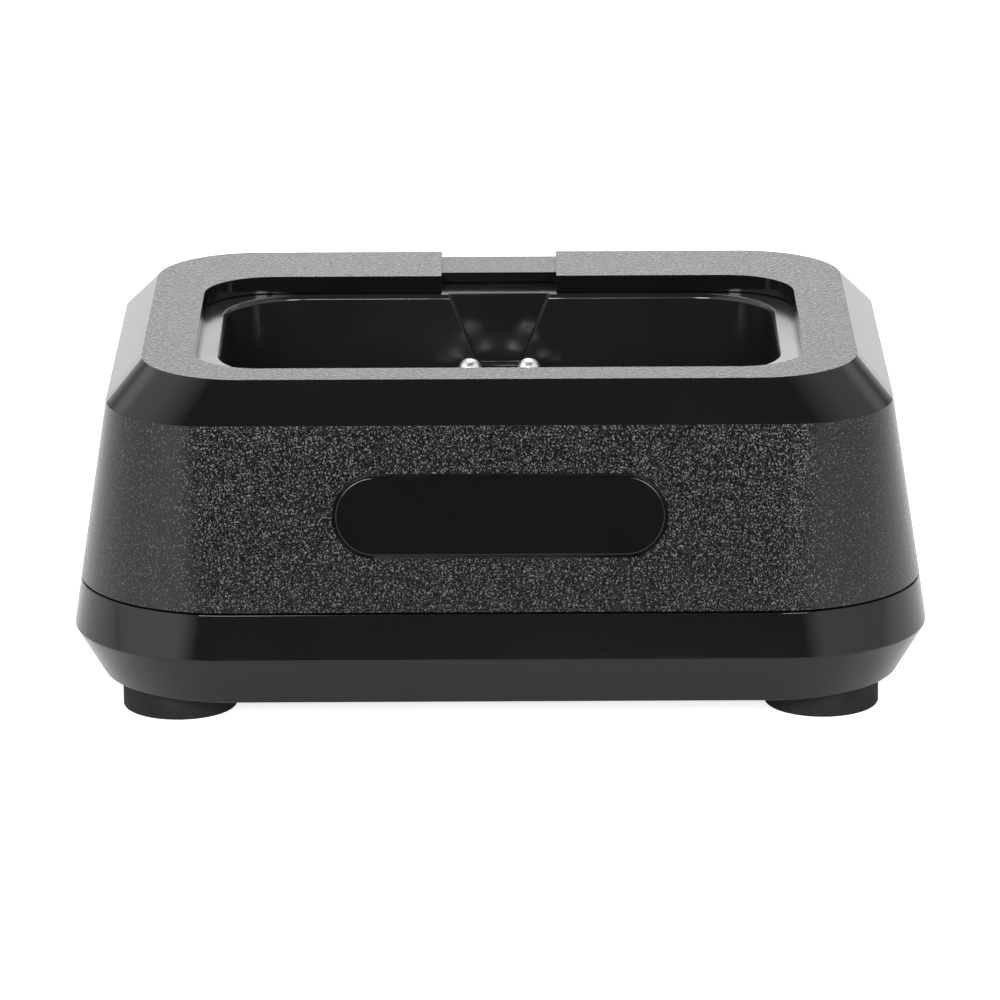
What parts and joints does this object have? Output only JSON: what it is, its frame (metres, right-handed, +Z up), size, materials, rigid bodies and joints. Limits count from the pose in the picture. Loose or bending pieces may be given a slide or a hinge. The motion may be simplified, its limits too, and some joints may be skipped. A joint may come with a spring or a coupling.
{
  "type": "hair clipper charging stand",
  "caption": "Low rounded charging stand with a clipper-shaped pocket, sprung charging pins, a gloss base band, a rear power socket and round rubber feet.",
  "frame": {"origin": "on the surface the stand rests on, under the middle of the stand", "axes": "+Z up, +X to the right as seen from the front, the front with the badge faces -Y and the power socket faces +Y"},
  "size_m": [0.0896, 0.07, 0.0364],
  "materials": {
    "textured_plastic": "black moulded plastic with a fine sparkling grain",
    "gloss_plastic": "polished black plastic",
    "rubber": "matt black rubber",
    "contact_metal": "bright nickel plate",
    "brass": "turned brass",
    "steel": "zinc-plated steel",
    "spring_steel": "bright spring wire and strip",
    "circuit_board": "green solder mask on glass fibre board",
    "socket_plastic": "satin black plastic",
    "capacitor_film": "shrink film",
    "fuse_coating": "dipped epoxy"
  },
  "bodies": {
    "stand": {"upper_housing": "textured_plastic", "pocket_insert": "gloss_plastic", "base_cover": "gloss_plastic", "front_badge": "gloss_plastic", "ballast_plate": "steel", "circuit_board": "circuit_board", "power_jack_body": "socket_plastic", "power_jack_pin": "brass", "power_jack_leaf": "spring_steel", "filter_capacitor": "capacitor_film", "resettable_fuse": "fuse_coating", "reverse_diode": "socket_plastic", "contact_sleeve_left": "brass", "contact_sleeve_right": "brass", "contact_spring_left": "spring_steel", "contact_spring_right": "spring_steel", "insert_screw_left": "steel", "insert_screw_right": "steel", "board_screw_left": "steel", "board_screw_right": "steel", "foot_front_left": "rubber", "foot_front_right": "rubber", "foot_rear_left": "rubber", "foot_rear_right": "rubber", "housing_screw_front_left": "steel", "housing_screw_front_right": "steel", "housing_screw_rear_left": "steel", "housing_screw_rear_right": "steel"},
    "left_pin": {"contact_pin_left": "contact_metal"},
    "right_pin": {"contact_pin_right": "contact_metal"}
  },
  "joints": [
    {"name": "left_pin_slide", "type": "slide", "parent": "stand", "child": "left_pin", "axis": [0, 0, 1], "range_m": [-0.0015, 0], "stiffness_N_per_m": 300, "springref_m": 0.0008, "deforming": ["contact_spring_left"]},
    {"name": "right_pin_slide", "type": "slide", "parent": "stand", "child": "right_pin", "axis": [0, 0, 1], "range_m": [-0.0015, 0], "stiffness_N_per_m": 300, "springref_m": 0.0008, "deforming": ["contact_spring_right"]}
  ]
}
